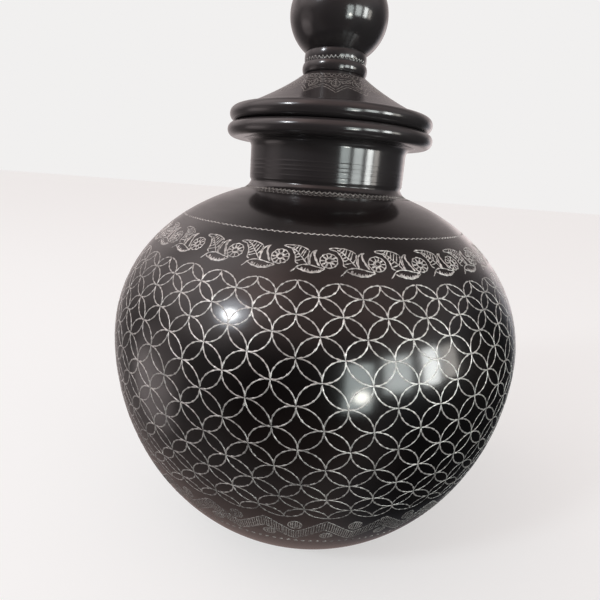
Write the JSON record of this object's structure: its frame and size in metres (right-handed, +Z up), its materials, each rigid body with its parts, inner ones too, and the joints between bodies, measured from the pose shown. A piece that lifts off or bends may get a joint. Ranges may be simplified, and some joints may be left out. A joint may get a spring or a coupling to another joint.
{
  "type": "lidded clay jar",
  "caption": "Round-bellied burnished black clay jar with a short neck, rolled rim and a domed lift-off lid with a ball knob, decorated with scratched silver line work.",
  "frame": {"origin": "middle of the flat foot that the jar stands on", "axes": "+Z up along the jar's axis of rotation, towards the knob"},
  "size_m": [0.24, 0.24, 0.3207],
  "materials": {
    "black_clay": "burnished to a deep gloss",
    "silver_line": "matte silver-white fill of the scratched lines"
  },
  "bodies": {
    "jar": {"jar_body": "black_clay", "jar_neck": "black_clay", "jar_rim": "black_clay"},
    "lid": {"lid_rim": "black_clay", "lid_flange": "black_clay", "lid_dome": "black_clay", "knob_collar": "black_clay", "knob": "black_clay"}
  },
  "joints": [
    {"name": "lid_lift", "type": "slide", "parent": "jar", "child": "lid", "axis": [0, 0, 1], "range_m": [0, 0.15]}
  ]
}
